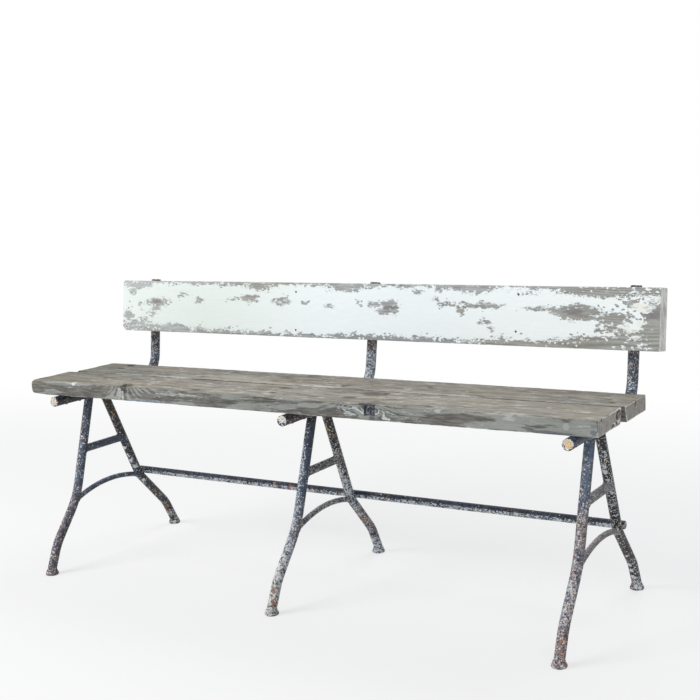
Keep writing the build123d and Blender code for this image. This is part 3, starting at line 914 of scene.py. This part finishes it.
# The wear of each iron piece: a number, or stops of height and number.
# Shares of the surface: slate paint, pale primer, rust, ochre and brown film. Shares of those:
# lighter slate, cream in the primer. Names with Left or Below add to a share on that side.
# Dust is a strength, nose the ochre on the bearer's bare end; patches of primer and rusty spots
# are places with their sizes.
ironWear = {
    "left_front_leg": dict(
        slate=0.8, lighter=[(0.22, 0.5), (0.08, 0.15)],
        pale=[(0.43, 0.03), (0.36, 0.10), (0.30, 0.12), (0.18, 0.10), (0.08, 0.05), (0.02, 0.14)],
        paleLeft=0.10, rust=[(0.43, 0.10), (0.36, 0.02), (0.24, 0.04), (0.12, 0.08), (0.03, 0.2)],
        rustLeft=0.30, film=[(0.25, 0.0), (0.17, 0.2), (0.05, 0.4)],
    ),
    "left_rear_leg": dict(
        dust=0.5, slate=[(0.40, 0.05), (0.30, 0.35), (0.18, 0.45), (0.02, 0.4)],
        pale=[(0.40, 0.04), (0.28, 0.10), (0.18, 0.12), (0.10, 0.08), (0.05, 0.14), (0.02, 0.5)],
        ochre=[(0.43, 0.13), (0.36, 0.10), (0.31, 0.02), (0.1, 0.04)], cream=0.3,
        patches=[
            ((-0.664, 0.046, 0.284), 0.004), ((-0.665, 0.058, 0.258), 0.005),
            ((-0.664, 0.068, 0.238), 0.005), ((-0.662, 0.076, 0.222), 0.006),
            ((-0.659, 0.088, 0.203), 0.007), ((-0.657, 0.117, 0.157), 0.005),
        ],
        rusty=[
            ((-0.662, 0.215, 0.041), 0.009), ((-0.662, 0.209, 0.060), 0.007),
            ((-0.656, 0.158, 0.118), 0.005),
        ],
    ),
    "left_crossbar": dict(slate=1.0, lighter=0.3, pale=0.04),
    "left_arch_brace": dict(slate=0.95, lighter=0.5, pale=0.08, cream=0.3),
    "middle_front_leg": dict(
        slate=[(0.43, 0.35), (0.38, 0.85), (0.20, 0.8)], lighter=[(0.38, 0.0), (0.20, 0.45)],
        pale=[
            (0.42, 0.0), (0.34, 0.02), (0.28, 0.08), (0.17, 0.12), (0.13, 0.45), (0.10, 0.95),
            (0.06, 0.80), (0.02, 0.45),
        ],
        paleLeft=[(0.43, 0.0), (0.35, 0.45)], cream=[(0.12, 0.15), (0.06, 0.4)],
        rust=[(0.12, 0.0), (0.07, 0.14), (0.03, 0.30)],
        rusty=[
            ((0.016, -0.240, 0.058), 0.012), ((0.018, -0.248, 0.036), 0.014),
            ((0.0135, -0.210, 0.105), 0.008),
        ],
        film=[(0.24, 0.05), (0.20, 0.4), (0.12, 0.5), (0.06, 0.2)],
    ),
    "middle_rear_leg": dict(
        dust=0.5, slate=[(0.40, 0.05), (0.28, 0.5), (0.10, 0.7)],
        pale=[
            (0.42, 0.06), (0.36, 0.16), (0.30, 0.34), (0.20, 0.50), (0.12, 0.28), (0.06, 0.22),
            (0.02, 0.66),
        ],
        paleLeft=0.12,
        ochre=[
            (0.42, 0.09), (0.36, 0.09), (0.31, 0.02), (0.17, 0.02), (0.14, 0.06), (0.08, 0.08),
            (0.02, 0.0),
        ],
        rusty=[
            ((0.021, 0.128, 0.137), 0.012), ((0.020, 0.143, 0.120), 0.010),
            ((0.020, 0.161, 0.103), 0.010), ((0.020, 0.185, 0.079), 0.008),
        ],
        cream=[(0.36, 0.6), (0.25, 0.15)],
    ),
    "middle_crossbar": dict(slate=0.75, pale=0.34, ochre=0.08, cream=0.6),
    "middle_arch_brace": dict(slate=0.7, pale=0.30, cream=0.4, rust=0.06, film=0.3),
    "right_front_leg": dict(
        slate=0.85, lighter=[(0.42, 0.5), (0.36, 0.9), (0.25, 0.45)],
        pale=[
            (0.42, 0.04), (0.32, 0.06), (0.26, 0.18), (0.18, 0.12), (0.13, 0.36), (0.09, 0.36),
            (0.05, 0.16), (0.02, 0.28),
        ],
        paleLeft=0.14, cream=[(0.32, 0.6), (0.24, 0.15)],
        ochre=[(0.42, 0.015), (0.30, 0.015), (0.26, 0.0)],
        rust=[(0.30, 0.0), (0.25, 0.24), (0.17, 0.14), (0.10, 0.20), (0.05, 0.75), (0.02, 0.60)],
        film=[(0.30, 0.0), (0.25, 0.8), (0.14, 0.7), (0.05, 0.9)],
    ),
    "right_rear_leg": dict(
        dust=0.05, slate=0.03,
        pale=[
            (0.43, 0.08), (0.36, 0.25), (0.29, 0.29), (0.23, 0.15), (0.17, 0.24), (0.12, 0.10),
            (0.04, 0.20), (0.012, 0.55),
        ],
        ochre=0.02, cream=0.3,
        patches=[
            ((0.688, 0.021, 0.339), 0.006), ((0.688, 0.027, 0.326), 0.006),
            ((0.690, 0.036, 0.307), 0.004), ((0.687, 0.167, 0.101), 0.004),
            ((0.684, 0.196, 0.071), 0.006), ((0.684, 0.207, 0.055), 0.006),
            ((0.684, 0.218, 0.036), 0.006),
        ],
    ),
    "right_crossbar": dict(slate=0.95, lighter=1.0, pale=0.20, cream=0.4, film=1.0),
    "right_arch_brace": dict(slate=0.9, lighter=0.9, pale=0.18, cream=0.4, film=1.0),
    "stretcher_rod": dict(
        dust=0.5, slate=0.6, rust=0.02, pale=0.02, paleBelow=0.65, ochre=0.008, cream=0.12,
        rusty=[
            ((-0.172, 0.118, 0.186), 0.008), ((-0.222, 0.118, 0.186), 0.006),
            ((-0.023, 0.118, 0.188), 0.006),
        ],
    ),
    "left_back_bar": dict(
        slate=[(0.44, 0.3), (0.47, 0.6)], lighter=0.4,
        pale=[(0.44, 0.02), (0.47, 0.22), (0.55, 0.15)], paleLeft=0.15,
        ochre=[(0.44, 0.03), (0.47, 0.03), (0.54, 0.05), (0.56, 0.40)], cream=0.4, nose=0.40,
    ),
    "middle_back_bar": dict(
        slate=[(0.44, 0.3), (0.47, 0.8)], lighter=[(0.44, 0.0), (0.47, 0.7)],
        pale=[(0.44, 0.10), (0.47, 0.62), (0.53, 0.36), (0.56, 0.10)],
        rust=[(0.44, 0.34), (0.47, 0.02)], ochre=[(0.52, 0.02), (0.55, 0.20)],
        cream=[(0.50, 0.1), (0.56, 0.7)], nose=0.22,
    ),
    "right_back_bar": dict(
        slate=[(0.44, 0.7), (0.47, 0.75)], lighter=0.35,
        pale=[(0.44, 0.02), (0.47, 0.32), (0.54, 0.22)],
        ochre=[(0.44, 0.01), (0.47, 0.0), (0.54, 0.04), (0.56, 0.18)], cream=0.3, nose=0.70,
    ),
}


def ironGrain(graph, place):
    # flakes of paint and spots of rust are cells of two sizes, crowded in some places
    ragged = graph.sway(place, 340.0, 0.0035)
    tint = graph.noise(place, 60.0, 3.0, 0.6)
    return SimpleNamespace(
        ragged=ragged, tint=tint,
        crowd=tint.steps(0.3, 0.7) * 1.4 + 0.3,
        large=graph.chips(ragged, 300.0),
        small=graph.chips(ragged + (4.0, 1.0, 2.0), 500.0),
        flake=graph.noise(place + (3.1, 1.7, 0.4), 120.0, 4.0, 0.66),
        fine=graph.noise(place + (1.5, 4.3, 0.9), 520.0, 2.0, 0.6),
    )


def ironColours(graph, grain, lighter, cream):
    # what lies on the iron; lighter and cream are shares of the slate paint and of the primer
    lighter = lighter * 0.7 + grain.tint.steps(0.35, 0.65) * 0.3
    slate = graph.mix(lighter, (44, 55, 76), (115, 132, 158))
    primer = graph.mix(grain.small[1] < cream, (220, 228, 236), (222, 208, 180))
    return SimpleNamespace(
        scale=graph.mix(grain.fine.steps(0.35, 0.7), (15, 16, 19), (46, 47, 52)),
        slate=graph.mix(grain.large[2] * 0.5, slate, (40, 46, 60)),
        film=graph.mix(grain.small[0], (116, 103, 102), (168, 152, 149)),
        rust=graph.mix(grain.small[1], (100, 66, 50), (190, 134, 96)),
        primer=graph.mix(grain.large[1] * 0.35, primer, (144, 154, 168)),
    )


def bearerEnd(graph, place, grain, wear):
    # the bare front end of a bearer, chipped at its rim
    away = fromSpot(place, wear["middle"], wear["level"])
    ground = graph.mix(grain.large[0], (172, 177, 182), (236, 238, 236))
    stained = grain.small[1] < wear["nose"] * away.steps(0.0135, 0.006)
    stain = graph.mix(grain.small[0], (212, 160, 84), (238, 214, 168))
    chipped = grain.large[2] < away.steps(0.0075, 0.0125) * 0.55 + 0.04
    return graph.layer(ground, (stained, stain), (chipped, (44, 50, 64)))


def ironFinish(name, wear):
    material, graph, place = newMaterial(name)
    _, y, z = graph.split(place)
    nx, ny, nz = graph.facing()
    sideways = nx * 0.86 + ny * 0.51
    leftward = sideways.steps(0.2, -0.9)
    belowward = nz.steps(0.30, 0.05)
    grain = ironGrain(graph, place)

    def share(kind, usual=0.0):
        return along(z, wear.get(kind, usual))

    def spots(number, amount):
        crowded = amount * grain.crowd
        return (grain.large[number] < crowded * 0.4).most(grain.small[number] < crowded * 0.7)

    def blot(spot, size, tear):
        # distance from a spot in its own size, torn
        return (grain.ragged - spot).length() / size + (grain.flake - 0.5) * tear

    colours = ironColours(graph, grain, share("lighter"), share("cream", 0.15))
    slateMask = cover(grain.flake, share("slate"), 0.03)
    rustMask = spots(1, share("rust") + leftward * wear.get("rustLeft", 0.0))
    rusty = [
        (blot(spot, size, 4.2).steps(1.0, 0.8) * 0.9, colours.rust)
        for spot, size in wear.get("rusty", ())
    ]
    paleShare = leftward * share("paleLeft") + belowward * wear.get("paleBelow", 0.0)
    paleShare = paleShare + share("pale")
    paleMask = spots(0, paleShare)
    for spot, size in wear.get("patches", ()):
        paleMask = paleMask.most(blot(spot, size, 3.6).steps(1.0, 0.92))
    dust = grain.fine.steps(0.5, 0.74) * paleShare.least(0.6) * wear.get("dust", 0.75)
    ochreMask = grain.small[2] < share("ochre") * grain.crowd
    pitMask = (grain.large[2] < 0.02 + paleShare * 0.10).most(cover(grain.flake, 0.03, 0.02))
    # painted shade: the side away from the light is painted dark, and both sides darker towards the
    # rims
    grimeAndPaintedShade = sideways.steps(0.25, 0.95) * 0.62 + sideways.steps(-0.75, -1.0) * 0.30
    colour = graph.layer(
        colours.scale,
        (slateMask, colours.slate),
        (spots(2, share("film") * 1.1) * 0.85, colours.film),
        (rustMask * 0.9, colours.rust),
        *rusty,
        (dust, (152, 165, 184)),
        (paleMask * 0.95, colours.primer),
        (ochreMask * 0.85, (196, 148, 76)),
        (pitMask * 0.85, (26, 28, 36)),
        # painted shade, darkest on the side away from the light
        (grimeAndPaintedShade * (1.0 - paleMask * 0.5), (22, 23, 28)),
    )
    if "nose" in wear:
        face = (y - wear["noseFace"]).steps(0.0014, 0.0008)
        colour = graph.mix(face, colour, bearerEnd(graph, place, grain, wear))
    height = paleMask * 0.5 + slateMask * 0.4 + grain.flake * 0.6 + grain.fine * 0.4 - pitMask * 0.6
    roughness = 0.52 + paleMask * 0.15 + rustMask * 0.3
    finishMaterial(graph, colour, roughness, graph.bump(height, 0.0007), 0.4)
    return material


def steelFinish():
    # the screws: dull steel, a little rusty
    material, graph, place = newMaterial("dullSteel")
    stain = graph.noise(place, 240.0, 4.0, 0.65)
    grain = graph.noise(place, 900.0, 2.0)
    steel = graph.mix(grain.steps(0.3, 0.7), (112, 114, 118), (158, 160, 164))
    colour = graph.mix(cover(stain, 0.25), steel, (120, 84, 60))
    soft = graph.bump(stain + grain * 0.3, 0.0003)
    finishMaterial(graph, colour, 0.42 + stain * 0.2, soft, metallic=0.7)
    return material


def dressIron():
    made = {"screws": steelFinish()}
    for node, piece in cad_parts.items():
        if piece.hide_render:
            continue
        look = "screws" if "screws" in node else node.replace("foot", "leg")
        if look not in made:
            wear = dict(ironWear[look])
            if "nose" in wear:
                low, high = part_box(node)
                wear["noseFace"] = low.y
                wear["middle"] = (low.x + high.x) / 2
                wear["level"] = low.z + (high.x - low.x) / 2
            made[look] = ironFinish(look + "Iron", wear)
        for slot in piece.material_slots:
            slot.material = made[look]
    print("iron finishes:", len(made))


dressIron()


weld = {
    "joined": ("crossbar", "arch_brace", "front_leg", "rear_leg"),
    "sizes": {
        "Lowest": 0.1,
        "Sharp angle": math.radians(38),
        "Step": 0.0022,
        "Thickness": 0.0025,
        "Lumps": 0.0022,
        "Sides": 8,
        "Seed": 2.0,
    },
}


def weldTree(graph, given):
    # a lumpy bead along the sharp seams where the bars meet
    clean = graph.node("GeometryNodeMergeByDistance", {}, {0: given["Geometry"], "Distance": 1e-5})
    bend = graph.node("GeometryNodeInputMeshEdgeAngle", out="Unsigned Angle")
    spot = graph.node("GeometryNodeInputPosition")
    chosen = (bend > given["Sharp angle"]) * (graph.split(spot)[2] > given["Lowest"])
    seam = graph.node("GeometryNodeMeshToCurve", {}, {"Mesh": clean, "Selection": chosen})
    steps = {"Curve": seam, "Length": given["Step"]}
    seam = graph.node("GeometryNodeResampleCurve", {"mode": "LENGTH"}, steps)
    lump = graph.noise(spot, 260.0, 1.0, 0.5, seed=given["Seed"])
    circle = {"Resolution": given["Sides"], "Radius": 1.0}
    bead = {"Curve": seam, "Profile Curve": graph.node("GeometryNodeCurvePrimitiveCircle", {}, circle)}
    bead["Scale"] = given["Thickness"] + (lump - 0.5) * given["Lumps"]
    body = graph.node("GeometryNodeCurveToMesh", {}, bead)
    return graph.node("GeometryNodeSetShadeSmooth", {}, {"Geometry": body})


def layWelds():
    for name in ("left", "middle", "right"):
        points, faces = [], []
        for part in weld["joined"]:
            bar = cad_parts[f"{name}_{part}"].data
            start = len(points)
            points += [v.co[:] for v in bar.vertices]
            faces += [[start + i for i in face.vertices] for face in bar.polygons]
        bars = bpy.data.meshes.new(name + "Bars")
        bars.from_pydata(points, [], faces)
        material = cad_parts[name + "_crossbar"].material_slots[0].material
        piece = growPiece(name + "Welds", weld["sizes"], weldTree, material, bars)
        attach(piece, "root")
        print(piece.name, len(piece.data.polygons), "faces")


layWelds()


studio = {
    "floorReach": 14.0,
    "floorTone": (0.86, 0.86, 0.86, 1.0),
    "shadowShare": 0.4,  # how much of the floor's own shading the camera sees near the bench
    "fadeFrom": 0.9,
    "fadeTo": 2.6,
    "sky": (0.94, 0.97, 1.0, 1.0),
    "skyStrength": 0.52,
    "lamps": [
        # place, width, height, power, colour
        ((-2.4, -2.6, 2.7), 2.2, 1.6, 98.0, (1.0, 0.985, 0.96)),
        ((2.6, -2.2, 2.0), 1.8, 1.8, 14.0, (0.97, 0.985, 1.0)),
        ((0.4, 1.8, 2.8), 2.4, 1.2, 22.0, (1.0, 1.0, 1.0)),
    ],
    "aim": (0.0, 0.0, 0.38),
}
white = {"Color": (1.0, 1.0, 1.0, 1.0), "Strength": 1.0}


def seen(graph):
    # 1 where the camera looks, straight or in a shine
    path = graph.node("ShaderNodeLightPath", out=("Is Camera Ray", "Is Glossy Ray"))
    return path[0].most(path[1])


def layFloor():
    reach = studio["floorReach"]
    mesh = bpy.data.meshes.new("floor")
    corners = [(-reach, -reach, 0), (reach, -reach, 0), (reach, reach, 0), (-reach, reach, 0)]
    mesh.from_pydata(corners, [], [(0, 1, 2, 3)])
    floor = addObject("floor", mesh)
    material, graph, place = newMaterial("paleFloor")
    near = (place * (0.6, 1.0, 0.0)).length().steps(studio["fadeTo"], studio["fadeFrom"])
    lit = graph.node("ShaderNodeBsdfDiffuse", {}, {"Color": studio["floorTone"]})
    glow = graph.node("ShaderNodeEmission", {}, white)
    share = seen(graph) * (1.0 - near * studio["shadowShare"])
    both = graph.node("ShaderNodeMixShader", {}, {0: share, 1: lit, 2: glow})
    graph.node("ShaderNodeOutputMaterial", {}, {"Surface": both})
    mesh.materials.append(material)


def lightStudio():
    world = bpy.data.worlds.new("studioWorld")
    scene.world = world
    world.use_nodes = True
    world.node_tree.nodes.clear()
    graph = Graph(world.node_tree)
    sky = {"Color": studio["sky"], "Strength": studio["skyStrength"]}
    sky = graph.node("ShaderNodeBackground", {}, sky)
    bright = graph.node("ShaderNodeBackground", {}, white)
    both = graph.node("ShaderNodeMixShader", {}, {0: seen(graph), 1: sky, 2: bright})
    graph.node("ShaderNodeOutputWorld", {}, {"Surface": both})

    for number, (place, width, height, power, colour) in enumerate(studio["lamps"]):
        data = bpy.data.lights.new(f"softLamp{number}", "AREA")
        data.shape = "RECTANGLE"
        data.size, data.size_y = width, height
        data.energy = power
        data.color = colour
        lamp = addObject(data.name, data)
        lamp.location = place
        toBench = Vector(studio["aim"]) - Vector(place)
        lamp.rotation_euler = toBench.to_track_quat("-Z", "Y").to_euler()
    print("studio lit")


camera = {
    "place": (1.5253, -2.3693, 0.9777),
    "azimuth": 31.167,
    "elevation": 8.465,
    "roll": -2.451,
    "lens": 62.53,
    "sensor": 36.0,
}


def setCamera():
    data = bpy.data.cameras.new("camera")
    data.lens = camera["lens"]
    data.sensor_width = camera["sensor"]
    data.clip_end = 60.0
    eye = addObject("camera", data)
    around = Matrix.Rotation(math.radians(camera["azimuth"]), 4, "Z")
    tilt = Matrix.Rotation(math.radians(90 - camera["elevation"]), 4, "X")
    roll = Matrix.Rotation(math.radians(camera["roll"]), 4, "Z")
    eye.matrix_world = Matrix.Translation(camera["place"]) @ around @ tilt @ roll
    scene.camera = eye


layFloor()
lightStudio()
setCamera()
scene.view_settings.view_transform = "Standard"
